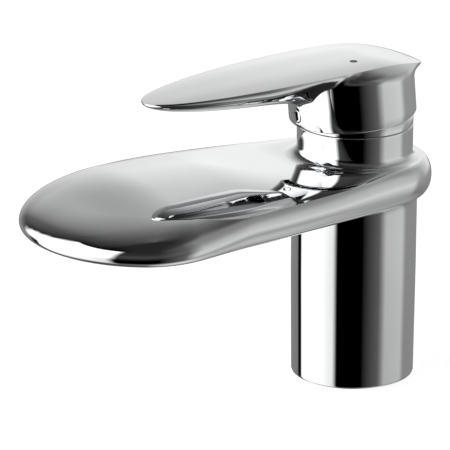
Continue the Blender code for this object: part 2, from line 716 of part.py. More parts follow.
def index_top():
    return lever_edge_z(INDEX_AT[1]) + LEVER_CROWN * INDEX_CROWN_SHARE


def skirt_hollow():
    """The hollow inside the skirt, leaning as the skirt does, round the boss for the stem."""
    inner = SKIRT_R - SKIRT_WALL
    profile = [(0.0, PIVOT_Z), (inner, PIVOT_Z), (inner, HOLLOW_TOP - 2.0), (inner - 2.0, HOLLOW_TOP),
               (0.0, HOLLOW_TOP)]
    hollow = turned("skirt_cutter", profile, steps=FINE_STEPS)
    for vert in hollow.data.vertices:
        vert.co.y -= SKIRT_TILT * (vert.co.z - PIVOT_Z * MM)
    cut(hollow, rod("boss_keeper", BOSS_R, BOSS_BOTTOM, HOLLOW_TOP + 1.0, steps=24))
    return hollow


def make_handle():
    handle = lever_outside()
    low = (-SOCKET_HALF, -SOCKET_HALF, BOSS_BOTTOM - 1.0)
    high = (SOCKET_HALF, SOCKET_HALF, STEM_TOP + 0.8)
    index_z = index_top()
    cut(handle,
        skirt_hollow(),
        box("socket_cutter", low, high),
        lying_rod("screw_hole", SCREW_HOLE_R, (0.0, -30.0, SCREW_Z), (0.0, -4.0, SCREW_Z)),
        rod("index_hole", INDEX_R + 0.25, index_z - 1.2, index_z + 2.0, None, INDEX_AT, 12))


def make_handle_bush():
    outer, inner = SOCKET_HALF - TOUCH, STEM_HALF + TOUCH
    low, high = (-outer, -outer, BOSS_BOTTOM + 0.5), (outer, outer, STEM_TOP - 1.0)
    bush = box("handle_bush", low, high, WHITE_PLASTIC)
    cut(bush,
        box("bush_bore", (-inner, -inner, BOSS_BOTTOM - 1.0), (inner, inner, STEM_TOP + 1.0)),
        lying_rod("bush_screw_hole", SCREW_HOLE_R, (0.0, -6.0, SCREW_Z), (0.0, -4.0, SCREW_Z)))


def make_handle_fittings():
    head_y, point_y = -BOSS_R - 0.4, -STEM_HALF - TOUCH
    screw = lying_rod("grub_screw", SCREW_R, (0.0, head_y, SCREW_Z), (0.0, point_y, SCREW_Z), STEEL)
    socket_start, socket_end = (0.0, head_y - 0.6, SCREW_Z), (0.0, head_y + 1.8, SCREW_Z)
    cut(screw, lying_rod("hex_socket", 1.3, socket_start, socket_end, steps=6))
    face_y = -SKIRT_R - SKIRT_TILT * (SCREW_Z - PIVOT_Z)
    lying_rod("screw_plug", SCREW_R, (0.0, face_y - 0.1, SCREW_Z), (0.0, face_y + 1.7, SCREW_Z), CHROME)
    rod("index_dot", INDEX_R, index_top() - 0.9, index_top() + 0.05, DARK_PLASTIC, INDEX_AT, 12)


# --- aerator ----------------------------------------------------------------------------------

def drilled_disc(name, radius, z0, z1, hole_r, pattern, spec):
    """A disc of the aerator with rings of holes; the pattern gives (ring radius, count)."""
    disc = rod(name, radius, z0, z1, spec, AERATOR_AT, AERATOR_STEPS)
    for place, (ring_r, count) in enumerate(pattern):
        for i, at in enumerate(circle(ring_r, count, AERATOR_AT)):
            cut(disc, rod(f"{name}_hole_{place}_{i}", hole_r, z0 - 1.0, z1 + 1.0, None, at, 7))


def make_aerator_housing():
    bottom, top = AERATOR_BOTTOM, AERATOR_TOP
    outer, inner, lip = AERATOR_R, AERATOR_R - AERATOR_WALL, AERATOR_R - AERATOR_LIP
    profile = [(lip, bottom), (outer, bottom), (outer, top), (inner, top), (inner, bottom + 1.0),
               (lip, bottom + 1.0)]
    housing = turned("aerator_housing", profile, CHROME, AERATOR_AT, FINE_STEPS)
    for i, at in enumerate(circle(lip, 4, AERATOR_AT, math.radians(45.0))):
        cut(housing, rod(f"key_notch_{i}", 0.8, bottom - 1.0, bottom + 1.5, None, at, 8))


def make_aerator_insert():
    """The screen, straightener and regulator, stacked in the housing, and the gasket over its rim."""
    disc_r = AERATOR_R - AERATOR_WALL - SLIP
    z = AERATOR_BOTTOM + 1.0 + TOUCH
    layers = (("aerator_screen", disc_r, 0.6, 0.9, ((0.0, 1), (3.6, 5), (7.0, 10)), STEEL),
              ("flow_straightener", disc_r, 2.2, 1.5, ((0.0, 1), (5.6, 8)), WHITE_PLASTIC),
              ("flow_regulator", disc_r - 0.6, 1.4, 1.2, ((4.8, 6),), GREY_PLASTIC))
    for name, radius, height, hole_r, pattern, spec in layers:
        drilled_disc(name, radius, z, z + height, hole_r, pattern, spec)
        z += height + TOUCH
    bottom, top = AERATOR_TOP + TOUCH, AERATOR_SHOULDER - TOUCH
    ring_of("aerator_gasket", disc_r, AERATOR_R, bottom, top, RUBBER, AERATOR_AT, AERATOR_STEPS)


def set_pivots():
    """Put the origin of each moving piece on the lever's pivot point, where the joints' axes meet."""
    pivot = Vector((0.0, 0.0, PIVOT_Z * MM))
    for name in MOVING_PIECES:
        piece = bpy.data.objects[name]
        piece.data.transform(Matrix.Translation(-pivot))
        piece.location = pivot


def main():
    clear_scene()
    make_body()
    make_base_gasket()
    make_cartridge_base()
    make_port_seals()
    make_disc_seal()
    make_ceramic_discs()
    make_disc_carrier()
    make_stem_guide()
    make_pivot_pin()
    make_cartridge_housing()
    make_limiter_ring()
    make_cartridge_nut()
    make_dome_cap()
    make_stem()
    make_handle()
    make_handle_bush()
    make_handle_fittings()
    make_aerator_housing()
    make_aerator_insert()
    set_pivots()


main()
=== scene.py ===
"""Looks for the basin mixer: smooth chrome skins, procedural finishes and a white studio."""

import json
import math

import bmesh
import bpy
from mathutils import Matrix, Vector


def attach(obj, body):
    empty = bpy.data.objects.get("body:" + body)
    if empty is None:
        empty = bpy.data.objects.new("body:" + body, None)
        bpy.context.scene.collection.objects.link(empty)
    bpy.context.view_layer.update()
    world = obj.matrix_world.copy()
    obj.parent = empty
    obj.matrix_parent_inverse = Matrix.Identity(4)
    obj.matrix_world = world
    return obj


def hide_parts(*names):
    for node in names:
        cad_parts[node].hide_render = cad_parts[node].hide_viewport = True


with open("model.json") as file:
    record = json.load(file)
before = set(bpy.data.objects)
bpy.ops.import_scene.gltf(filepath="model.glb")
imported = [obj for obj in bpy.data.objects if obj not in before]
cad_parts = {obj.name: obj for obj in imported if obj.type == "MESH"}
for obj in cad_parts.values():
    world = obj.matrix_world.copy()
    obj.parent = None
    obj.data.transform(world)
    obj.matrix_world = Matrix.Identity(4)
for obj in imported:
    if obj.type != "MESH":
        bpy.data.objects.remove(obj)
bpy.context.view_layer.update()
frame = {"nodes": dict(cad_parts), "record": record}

MM = 0.001

# Shape of the body, in millimetres. Z is up, the spout points to -Y and the column stands on
# the origin.
COLUMN_R = 24.0
COLUMN_TAPER_Z = 41.4
FOOT_R = 23.65
FOOT_CHAMFER = 0.5
FOOT_EASE = 0.15
NECK_R = 22.1
NECK_TOP = 99.7
NECK_EASE = 0.45

# The fillet at the neck's foot, wider on the spout's side than over the brim
FILLET_R = 3.2
FILLET_H = 3.4
FILLET_AIM = 0.36
FILLET_SPREAD = 2.0
FILLET_RISE = 0.6
FILLET_GROWS_FROM = 4.0
FILLET_GROWS_OVER = 40.0

# The spout's top and its edge
SPOUT_TOP = 86.0
SPOUT_CROWN = 1.6
SPOUT_CROWN_POWER = 3.0
SPOUT_DROOP = 0.00035         # fall of the edge per squared mm from its highest point
SPOUT_HIGHEST_Y = -30.0
SPOUT_CREASE = 0.8
SPOUT_TOP_STEPS = 32
SPOUT_TOP_CROWDING = 1.3      # above 1, the rings crowd towards the edge
SWELL = 4.0                   # extra height along the middle of the top
SWELL_REAR_Y = -24.0
SWELL_REAR_LENGTH = 42.0
SWELL_FRONT_Y = -92.0
SWELL_FRONT_LENGTH = 34.0
BRIM_R = 28.0
BRIM_MEET = math.radians(15.0)
BRIM_AIM = 30.0
WAIST_Y = 20.0                # where the spout is as narrow as the brim

# The spout's side: a creased flank that turns into a rolled nose
NOSE_CENTRE_Y = -92.0
NOSE_HALF_WIDTH = 42.9
NOSE_LENGTH = 39.6
NOSE_AIM = 28.0
NOSE_START_Y = -68.0
NOSE_FULL_Y = -112.0
NOSE_INSET = 13.0
NOSE_LIFT = 1.7
NOSE_DEPTH = 18.2
NOSE_ROLL = 10.5
NOSE_WIDEST_Z = 75.6
NOSE_TURN = 5.4
NOSE_TUCK = (4.0, 1.6, 1.4)   # where the tuck ends and levels out, inward, and its aim downward
NOSE_ROLL_SHARE = 0.6         # of the side's steps, spent above the widest point
FLANK_START = math.radians(38.0)
FLANK_DEPTH_REAR = 3.5
FLANK_DEPTH_FRONT = 6.0
FLANK_FULL_Y = -40.0
SIDE_STEPS = 50
SPOUT_UNDERSIDE = 73.1
UNDER_BLEND = 4.0
UNDER_AIM = 0.3

# The lever
SKIRT_R = 24.3
SKIRT_WALL = 1.1
SKIRT_MID_Z = 103.6
SKIRT_TILT = 0.094
SKIRT_EASE = 0.4
SKIRT_ROOF_Z = 118.4
SKIRT_ROOF_BEVEL = 2.0
BLADE_GROWS_OVER = 30.0
BLADE_FULL = 0.55             # how much a back edge inside the skirt's radius bulges first
# Depths below the edge at which the flank leaves the skirt, and of its two aims: (at the skirt,
# what the blade adds)
LEVER_DROPS = ((5.0, 6.0), (2.6, 4.4), (1.4, 6.1))
LEVER_HALF_WIDTH = 19.6
LEVER_TIP_Y = -91.5
LEVER_REAR_Y = 26.4
LEVER_WIDEST_Y = -22.0
LEVER_SPINE = (-70.0, 8.0)    # the line on the middle that the top's rings close in on, from y to y
LEVER_EDGE_Z = 125.7
LEVER_FALL_FRONT = 4.8
LEVER_FALL_POWER = 1.4
LEVER_FALL_REAR = 4.6
LEVER_CROWN = 1.1
LEVER_CROWN_POWER = 3.0
LEVER_CREASE = 0.4
LEVER_FULLNESS = 2.0 / 2.5
LEVER_TOP_STEPS = 30
BOSS_R = 8.0
BOSS_BOTTOM = 102.4
SOCKET_HALF = 4.95
SOCKET_HEIGHTS = (101.4, 115.2)
SCREW_Z = 105.6
SCREW_HOLE_R = 2.6
SCREW_PLUG_R = 2.3
INDEX_AT = (8.7, -6.5)
INDEX_R = 1.2
INDEX_DEPTH = 1.2
PIVOT_Z = 91.4

# Hollows in the body
CHAMBER_FLOOR = 63.4
CHAMBER_R = 18.6
NUT_BORE_R = 19.3
NUT_BORE_FLOOR = 89.4
DECK_CAVITY_R = 20.8
DECK_CAVITY_TOP = 45.4
GASKET_SEAT_R = 22.0
GASKET_SEAT_DEPTH = 2.4
HOLE_BOTTOM = 44.0
STUD_HOLE = (3.4, 57.4, (0.0, -9.5))
INLET_HOLE = (4.7, 55.4)
INLET_AT = (8.0, 3.0)
AERATOR_Y = -108.0
AERATOR_R = 12.0
AERATOR_SOCKET = (68.0, 80.3)
AERATOR_TOP = 78.8

# The bright ring over the nut, part of a ball round the lever's pivot
DOME_BALL_R = 24.8
DOME_WALL = 1.2
DOME_FOOT = 100.0
DOME_TOP = 109.0


def smoothstep(value):
    value = min(max(value, 0.0), 1.0)
    return value * value * (3.0 - 2.0 * value)


def quarter_turn(steps):
    """Angles from 0 to 90 degrees in even steps."""
    return [math.radians(90.0 * i / steps) for i in range(steps + 1)]


def full_turn(steps, phase=0.0):
    return [2.0 * math.pi * (i + phase) / steps for i in range(steps)]


def easing(ease):
    """How far a rounded edge stands back, sideways and lengthways, in even steps round it."""
    return [(ease * (1 - math.sin(a)), ease * (1 - math.cos(a))) for a in quarter_turn(4)]


def bezier(p0, p1, p2, p3, steps):
    """Points of a cubic curve, without its first point."""
    points = []
    for i in range(1, steps + 1):
        t = i / steps
        weights = ((1 - t) ** 3, 3 * t * (1 - t) ** 2, 3 * t * t * (1 - t), t ** 3)
        axes = zip(p0, p1, p2, p3)
        points.append(tuple(sum(w * c for w, c in zip(weights, axis)) for axis in axes))
    return points


def eased(points, corner, radius, steps=6):
    """Round one corner of a path of 3-D points with a small arc, within its two neighbours."""
    shortest = 0.03
    at, before, after = (Vector(points[i]) for i in (corner, corner - 1, corner + 1))
    back, ahead = (before - at).normalized(), (after - at).normalized()
    turn = math.pi - back.angle(ahead)
    longest = 0.45 * min((before - at).length, (after - at).length)
    reach = min(max(radius * math.tan(turn / 2.0), shortest), longest)
    start, end = at + back * reach, at + ahead * reach
    arc = []
    for i in range(steps + 1):
        t = i / steps
        arc.append(tuple(start * (1 - t) ** 2 + at * (2 * t * (1 - t)) + end * t ** 2))
    return points[:corner] + arc + points[corner + 1:]


def object_from(bm, name, sharp=35.0):
    """Turn a bmesh in millimetres into a smooth-shaded object in metres."""
    bmesh.ops.scale(bm, vec=(MM, MM, MM), verts=bm.verts)
    bmesh.ops.recalc_face_normals(bm, faces=bm.faces)
    mesh = bpy.data.meshes.new(name)
    bm.to_mesh(mesh)
    bm.free()
    mesh.shade_smooth()
    mesh.set_sharp_from_angle(angle=math.radians(sharp))
    made = bpy.data.objects.new(name, mesh)
    bpy.context.scene.collection.objects.link(made)
    return made


def skin(bm, rings, closed=False):
    """Join rings of points with faces; a ring of one point is a pole."""
    made = [[bm.verts.new(p) for p in ring] for ring in rings]
    pairs = list(zip(made, made[1:]))
    if closed:
        pairs.append((made[-1], made[0]))
    for lower, upper in pairs:
        count = max(len(lower), len(upper))
        for i in range(count):
            j = (i + 1) % count
            low_a, low_b = lower[i % len(lower)], lower[j % len(lower)]
            up_a, up_b = upper[i % len(upper)], upper[j % len(upper)]
            face = list(dict.fromkeys((low_a, low_b, up_b, up_a)))
            bm.faces.new(face)
    return made


def turned(name, profile, centre=(0.0, 0.0), steps=128, sharp=35.0):
    """A turned solid from a closed outline of (radius, z) points."""
    cx, cy = centre
    around = full_turn(steps, 0.37)
    rings = []
    for radius, z in profile:
        if radius == 0.0:
            rings.append([(cx, cy, z)])
            continue
        rings.append([(cx + radius * math.cos(a), cy + radius * math.sin(a), z) for a in around])
    bm = bmesh.new()
    skin(bm, rings, closed=profile[0][0] != 0.0 or profile[-1][0] != 0.0)
    return object_from(bm, name, sharp)


def rod(name, radius, z0, z1, centre=(0.0, 0.0), steps=48):
    """An upright rod from z0 to z1."""
    return turned(name, [(0.0, z0), (radius, z0), (radius, z1), (0.0, z1)], centre, steps)


def lying_rod(name, radius, y0, y1, z, steps=48, ease=0.0):
    """A rod along Y, with its end at y0 rounded by ease."""
    path = [(radius, y0)]
    if ease > 0.0:
        path = [(radius - back, y0 + along) for back, along in easing(ease)]
    path.append((radius, y1))
    around = full_turn(steps)
    rings = [[(r * math.cos(a), y, z + r * math.sin(a)) for a in around] for r, y in path]
    bm = bmesh.new()
    skin(bm, [[(0.0, y0, z)], *rings, [(0.0, y1, z)]])
    return object_from(bm, name)


def box(name, low, high):
    bm = bmesh.new()
    bmesh.ops.create_cube(bm, size=1.0)
    for vert in bm.verts:
        vert.co = Vector(l + (h - l) * (c + 0.5) for l, h, c in zip(low, high, vert.co))
    return object_from(bm, name)


def cut(base, *cutters, sharp=35.0):
    """Cut solids away for good and drop the helpers."""
    for cutter in cutters:
        step = base.modifiers.new(cutter.name, "BOOLEAN")
        step.operation = "DIFFERENCE"
        step.solver = "EXACT"
        step.object = cutter
    bpy.context.view_layer.update()
    shape = base.evaluated_get(bpy.context.evaluated_depsgraph_get())
    mesh = bpy.data.meshes.new_from_object(shape)
    base.modifiers.clear()
    old = base.data
    base.data = mesh
    bpy.data.meshes.remove(old)
    mesh.name = base.name
    mesh.set_sharp_from_angle(angle=math.radians(sharp))
    for cutter in cutters:
        bpy.data.objects.remove(cutter, do_unlink=True)
    return base


# --- body -------------------------------------------------------------------------------------

def spout_edge():
    """Half of the spout's edge in plan, from the nose round to the back of the brim."""
    points = []
    for a in quarter_turn(56):
        points.append((NOSE_HALF_WIDTH * math.sin(a), NOSE_CENTRE_Y - NOSE_LENGTH * math.cos(a)))
    start = (BRIM_R * math.cos(BRIM_MEET), BRIM_R * math.sin(BRIM_MEET))
    aim = (start[0] + BRIM_AIM * math.sin(BRIM_MEET), start[1] - BRIM_AIM * math.cos(BRIM_MEET))
    points += bezier(points[-1], (NOSE_HALF_WIDTH, NOSE_CENTRE_Y + NOSE_AIM), aim, start, 64)
    for i in range(1, 33):
        a = BRIM_MEET + (math.radians(90.0) - BRIM_MEET) * i / 32
        points.append((BRIM_R * math.cos(a), BRIM_R * math.sin(a)))
    points[0] = (0.0, points[0][1])
    points[-1] = (0.0, points[-1][1])
    return points


def mirrored(half):
    """Close a half outline that starts and ends on the plane x = 0."""
    return half + [(-x, y) for x, y in reversed(half[1:-1])]


def outward(outline):
    """Unit normals of a closed outline, pointing out."""
    normals = []
    count = len(outline)
    for i in range(count):
        (x0, y0), (x1, y1) = outline[i - 1], outline[(i + 1) % count]
        length = math.hypot(x1 - x0, y1 - y0)
        normals.append(((y1 - y0) / length, -(x1 - x0) / length))
    return normals


def nose_share(y):
    """0 on the spout's straight flanks and 1 at the tip of its nose."""
    return smoothstep((NOSE_START_Y - y) / (NOSE_START_Y - NOSE_FULL_Y))


def spout_edge_z(y):
    """Height of the spout's edge at y, without the swell of its middle."""
    return SPOUT_TOP - SPOUT_DROOP * (y - SPOUT_HIGHEST_Y) ** 2 + NOSE_LIFT * nose_share(y)


def spout_width(y):
    """Half width of the spout's top at y, in plan."""
    if y < NOSE_CENTRE_Y:
        share = min(1.0, (NOSE_CENTRE_Y - y) / NOSE_LENGTH)
        return max(1.0, NOSE_HALF_WIDTH * math.sqrt(1.0 - share * share))
    share = smoothstep((y - NOSE_CENTRE_Y) / (WAIST_Y - NOSE_CENTRE_Y))
    return NOSE_HALF_WIDTH + (BRIM_R - NOSE_HALF_WIDTH) * share


def spout_swell(x, y):
    """Extra height of the spout's top at (x, y)."""
    rise = smoothstep((SWELL_REAR_Y - y) / SWELL_REAR_LENGTH)
    fall = smoothstep((SWELL_FRONT_Y - y) / SWELL_FRONT_LENGTH)
    across = 1.0 - (x / spout_width(y)) ** 2
    return SWELL * rise * (1.0 - fall) * max(0.0, across)


def flank_section(edge_z, depth, steps):
    """(out, z) points of the spout's side below its crease, as part of an ellipse."""
    points = []
    for i in range(1, steps + 1):
        a = FLANK_START + (math.pi - FLANK_START) * i / steps
        share = (math.cos(FLANK_START) - math.cos(a)) / (math.cos(FLANK_START) + 1.0)
        out = depth * (math.sin(a) - math.sin(FLANK_START))
        points.append((out, edge_z + (SPOUT_UNDERSIDE - edge_z) * share))
    return points


def nose_section(edge_z, slope, steps):
    """(out, z) points of the nose, which rolls over gently and is widest low down."""
    upper = round(steps * NOSE_ROLL_SHARE)
    inward, level_in, down = NOSE_TUCK
    widest = (NOSE_DEPTH, NOSE_WIDEST_Z)
    aim = (NOSE_ROLL, edge_z - NOSE_ROLL * slope)
    roll = bezier((0.0, edge_z), aim, (NOSE_DEPTH, NOSE_WIDEST_Z + NOSE_TURN), widest, upper)
    under = (NOSE_DEPTH - inward, SPOUT_UNDERSIDE)
    drop, level = (NOSE_DEPTH, NOSE_WIDEST_Z - down), (NOSE_DEPTH - level_in, SPOUT_UNDERSIDE)
    return roll + bezier(widest, drop, level, under, steps - upper)


def neck_profile(crown_z, fillet_r, fillet_h):
    """(radius, z) points of the chamber, the nut's bore, the neck and the fillet at its foot."""
    profile = [(CHAMBER_R, CHAMBER_FLOOR), (CHAMBER_R, NUT_BORE_FLOOR),
               (NUT_BORE_R, NUT_BORE_FLOOR), (NUT_BORE_R, NECK_TOP)]
    profile += [(NECK_R - back, NECK_TOP - along) for back, along in easing(NECK_EASE)]
    profile.append((NECK_R, NECK_TOP - 1.0))
    start, end = (NECK_R, crown_z + fillet_h), (NECK_R + fillet_r, crown_z)
    profile += [(NECK_R, (profile[-1][1] + start[1]) / 2.0), start]
    first_aim = (NECK_R, crown_z + FILLET_AIM * fillet_h)
    last_aim = (NECK_R + FILLET_AIM * fillet_r, crown_z)
    return profile + bezier(start, first_aim, last_aim, end, 16)


def column_profile(under_r):
    """(radius, z) points from the spout's underside down the column and up the deck hollow."""
    start, end = (under_r, SPOUT_UNDERSIDE), (COLUMN_R, SPOUT_UNDERSIDE - UNDER_BLEND)
    middle = COLUMN_R + (under_r - COLUMN_R) * UNDER_AIM
    profile = bezier(start, (middle, start[1]), (COLUMN_R, start[1]), end, 16)
    for i in range(1, 4):
        profile.append((COLUMN_R, end[1] + (COLUMN_TAPER_Z - end[1]) * i / 3))
    for i in range(1, 4):
        taper_z = COLUMN_TAPER_Z + (FOOT_CHAMFER - COLUMN_TAPER_Z) * i / 3
        profile.append((COLUMN_R + (FOOT_R - COLUMN_R) * i / 3, taper_z))
    profile.insert(-1, (FOOT_R + 0.004, 2.0 * FOOT_CHAMFER))
    return profile + [(FOOT_R - FOOT_EASE, FOOT_EASE), (FOOT_R - FOOT_CHAMFER, 0.0),
                      (GASKET_SEAT_R, 0.0), (GASKET_SEAT_R, GASKET_SEAT_DEPTH),
                      (DECK_CAVITY_R, GASKET_SEAT_DEPTH), (DECK_CAVITY_R, DECK_CAVITY_TOP)]


def spout_side(edge, normal, nose, edge_z, slope):
    """Points of the spout's side: the creased flank, turned into the nose by its share."""
    front = smoothstep(edge[1] / FLANK_FULL_Y)
    depth = FLANK_DEPTH_REAR + (FLANK_DEPTH_FRONT - FLANK_DEPTH_REAR) * front
    flanks = flank_section(edge_z, depth, SIDE_STEPS)
    tips = nose_section(edge_z, slope, SIDE_STEPS)
    points = []
    for flank, tip in zip(flanks, tips):
        out, z = (f + (t - f) * nose for f, t in zip(flank, tip))
        points.append((edge[0] + normal[0] * out, edge[1] + normal[1] * out, z))
    return points


def body_station(edge, normal):
    """One radial profile of the body: chamber, neck, spout, column and deck hollow."""
    nose = nose_share(edge[1])
    x, y = (e - NOSE_INSET * nose * n for e, n in zip(edge, normal))
    reach = math.hypot(x, y)
    ray = (x / reach, y / reach)
    room = smoothstep((reach - BRIM_R - FILLET_GROWS_FROM) / FILLET_GROWS_OVER)
    fillet_r, fillet_h = FILLET_R + FILLET_SPREAD * room, FILLET_H + FILLET_RISE * room
    foot_r = NECK_R + fillet_r
    flat_z = spout_edge_z(y)
    edge_z = flat_z + spout_swell(x, y)
    crown_z = spout_edge_z(ray[1] * foot_r) + SPOUT_CROWN

    def on_ray(radius, z):
        return (ray[0] * radius, ray[1] * radius, z)

    points = [on_ray(*p) for p in neck_profile(crown_z, fillet_r, fillet_h)]
    for i in range(1, SPOUT_TOP_STEPS + 1):
        share = 1.0 - (1.0 - i / SPOUT_TOP_STEPS) ** SPOUT_TOP_CROWDING
        z = flat_z + (crown_z - flat_z) * (1.0 - share ** SPOUT_CROWN_POWER)
        px, py, _ = on_ray(foot_r + (reach - foot_r) * share, 0.0)
        points.append((px, py, z + spout_swell(px, py)))
    corner = len(points) - 1
    slope = (points[-2][2] - points[-1][2]) / math.dist(points[-2][:2], points[-1][:2])
    points += spout_side((x, y), normal, nose, edge_z, slope)
    under_r = math.hypot(points[-1][0], points[-1][1])
    points += [on_ray(*p) for p in column_profile(under_r)]
    return eased(points, corner, SPOUT_CREASE)


def make_body():
    """The cast body, skinned through the radial profiles, with its sockets cut out."""
    outline = mirrored(spout_edge())
    stations = [body_station(edge, normal) for edge, normal in zip(outline, outward(outline))]
    rings = [list(ring) for ring in zip(*stations)]
    bm = bmesh.new()
    skin(bm, [[(0.0, 0.0, CHAMBER_FLOOR)], *rings, [(0.0, 0.0, DECK_CAVITY_TOP)]])
    body = object_from(bm, "mixer_body")
    stud_r, stud_top, stud_at = STUD_HOLE
    inlet_r, inlet_top = INLET_HOLE
    cutters = [rod("aerator_cutter", AERATOR_R + 0.3, *AERATOR_SOCKET, (0.0, AERATOR_Y), 96),
               rod("stud_cutter", stud_r, HOLE_BOTTOM, stud_top, stud_at)]
    for side in (-1.0, 1.0):
        inlet_at = (side * INLET_AT[0], INLET_AT[1])
        cutters.append(rod("inlet_cutter", inlet_r, HOLE_BOTTOM, inlet_top, inlet_at))
    return cut(body, *cutters)


# --- lever ------------------------------------------------------------------------------------

def lever_width(y):
    """Half width of the leaf's top at y, in plan."""
    if y < LEVER_WIDEST_Y:
        u = (y - LEVER_WIDEST_Y) / (LEVER_TIP_Y - LEVER_WIDEST_Y)
        return LEVER_HALF_WIDTH * math.sqrt(max(0.0, 1.0 - u * u))
    u = (y - LEVER_WIDEST_Y) / (LEVER_REAR_Y - LEVER_WIDEST_Y)
    narrowing = max(0.0, 1.0 - u ** (2.0 / LEVER_FULLNESS))
    return LEVER_HALF_WIDTH * narrowing ** (LEVER_FULLNESS / 2.0)


def lever_edge():
    """Half of the leaf's edge in plan, from the tip round to the back."""
    points = []
    front, rear = LEVER_TIP_Y - LEVER_WIDEST_Y, LEVER_REAR_Y - LEVER_WIDEST_Y
    for a in quarter_turn(72):
        points.append((LEVER_HALF_WIDTH * math.sin(a), LEVER_WIDEST_Y + front * math.cos(a)))
    for a in quarter_turn(72)[1:]:
        x = LEVER_HALF_WIDTH * math.cos(a) ** LEVER_FULLNESS
        points.append((x, LEVER_WIDEST_Y + rear * math.sin(a) ** LEVER_FULLNESS))
    points[0] = (0.0, LEVER_TIP_Y)
    points[-1] = (0.0, LEVER_REAR_Y)
    return points


def lever_edge_z(y):
    """Height of the leaf's edge, which falls off to both ends."""
    if y < 0.0:
        return LEVER_EDGE_Z - LEVER_FALL_FRONT * (y / LEVER_TIP_Y) ** LEVER_FALL_POWER
    return LEVER_EDGE_Z - LEVER_FALL_REAR * (y / LEVER_REAR_Y) ** 2


def lever_top_z(x, y):
    """Height of the leaf's crowned top at (x, y)."""
    width = lever_width(y)
    if width <= abs(x):
        return lever_edge_z(y)
    across = 1.0 - (abs(x) / width) ** LEVER_CROWN_POWER
    return lever_edge_z(y) + LEVER_CROWN * across * (width / LEVER_HALF_WIDTH) ** 2


def tilted(point):
    """The skirt leans to the front, so its rings shift with their height."""
    x, y, z = point
    return (x, y - SKIRT_TILT * (z - PIVOT_Z), z)


def lever_station(edge):
    """One profile of the lever: up the skirt, out along the flank and in over the top."""
    x, y = edge
    reach = math.hypot(x, y)
    ray = (x / reach, y / reach)
    edge_z = lever_edge_z(y)
    blade = smoothstep((reach - SKIRT_R) / BLADE_GROWS_OVER)
    shoulder, belly, flank = (edge_z - low - more * blade for low, more in LEVER_DROPS)
    bulge = BLADE_FULL * max(0.0, SKIRT_R - reach)
    skirt_z = SKIRT_MID_Z + SKIRT_TILT * SKIRT_R * ray[1]

    def on_skirt(radius, z):
        return tilted((ray[0] * radius, ray[1] * radius, z))

    def on_ray(radius, z):
        return (ray[0] * radius, ray[1] * radius, z)

    points = [on_skirt(SKIRT_R - back, skirt_z + along) for back, along in easing(SKIRT_EASE)]
    wall_z = skirt_z + SKIRT_EASE
    for i in range(1, 7):
        points.append(on_skirt(SKIRT_R, wall_z + (shoulder - wall_z) * i / 6))
    aims = (on_skirt(SKIRT_R, belly), on_ray(reach + bulge, flank), on_ray(reach, edge_z))
    points += bezier(points[-1], *aims, 40)
    corner = len(points) - 1
    middle_y = min(max(y, LEVER_SPINE[0]), LEVER_SPINE[1])
    for i in range(1, LEVER_TOP_STEPS):
        share = 1.0 - i / LEVER_TOP_STEPS
        px, py = x * share, middle_y + (y - middle_y) * share
        points.append((px, py, lever_top_z(px, py)))
    return eased(points, corner, LEVER_CREASE)


def fill_strip(bm, ring):
    """Close a mirrored ring with a strip of faces from side to side."""
    half = len(ring) // 2
    for i in range(half):
        corners = (ring[-i], ring[i], ring[i + 1], ring[-(i + 1)])
        bm.faces.new(list(dict.fromkeys(corners)))


def index_top():
    """Height of the leaf's top at the index dot."""
    return lever_top_z(*INDEX_AT)


def skirt_hollow():
    """Cutter for the inside of the leaning skirt, which leaves the boss in its middle."""
    inner, bevel_z = SKIRT_R - SKIRT_WALL, SKIRT_ROOF_Z - SKIRT_ROOF_BEVEL
    profile = [(0.0, PIVOT_Z), (inner, PIVOT_Z), (inner, bevel_z),
               (inner - SKIRT_ROOF_BEVEL, SKIRT_ROOF_Z), (0.0, SKIRT_ROOF_Z)]
    hollow = turned("skirt_cutter", profile)
    for vert in hollow.data.vertices:
        vert.co.y -= SKIRT_TILT * (vert.co.z - PIVOT_Z * MM)
    return cut(hollow, rod("boss_keeper", BOSS_R, BOSS_BOTTOM, SKIRT_ROOF_Z + 1.0))


def make_lever():
    """The lever: leaf and skirt skinned in one piece, hollowed, with its socket and holes."""
    outline = mirrored(lever_edge())
    rings = [list(ring) for ring in zip(*(lever_station(edge) for edge in outline))]
    bm = bmesh.new()
    made = skin(bm, [[(0.0, 0.0, SKIRT_MID_Z)], *rings])
    fill_strip(bm, made[-1])
    lever = object_from(bm, "lever_handle")
    socket_low = (-SOCKET_HALF, -SOCKET_HALF, SOCKET_HEIGHTS[0])
    socket_high = (SOCKET_HALF, SOCKET_HALF, SOCKET_HEIGHTS[1])
    dot_floor = index_top() - INDEX_DEPTH
    return cut(lever,
               skirt_hollow(),
               box("socket_cutter", socket_low, socket_high),
               lying_rod("screw_hole_cutter", SCREW_HOLE_R, -30.0, -4.0, SCREW_Z),
               rod("index_hole_cutter", INDEX_R + 0.25, dot_floor, index_top() + 2.0, INDEX_AT))


def make_index_dot():
    top = index_top()
    bottom, ease, rise = top - 0.9, 0.12, 0.05
    profile = [(0.0, bottom), (INDEX_R, bottom), (INDEX_R, top - ease),
               (INDEX_R - ease, top), (0.0, top + rise)]
    return turned("lever_index_dot", profile, INDEX_AT, 48)


def make_screw_plug():
    face_y = -SKIRT_R - SKIRT_TILT * (SCREW_Z - PIVOT_Z)
    return lying_rod("lever_screw_plug", SCREW_PLUG_R, face_y - 0.1, face_y + 1.7, SCREW_Z, ease=0.3)


# --- other turned skins -----------------------------------------------------------------------

def ball_path(radius, low, high, steps):
    """(radius, z) points up or down a ball round the lever's pivot."""
    heights = [low + (high - low) * i / steps for i in range(steps + 1)]
    return [(math.sqrt(radius ** 2 - (z - PIVOT_Z) ** 2), z) for z in heights]


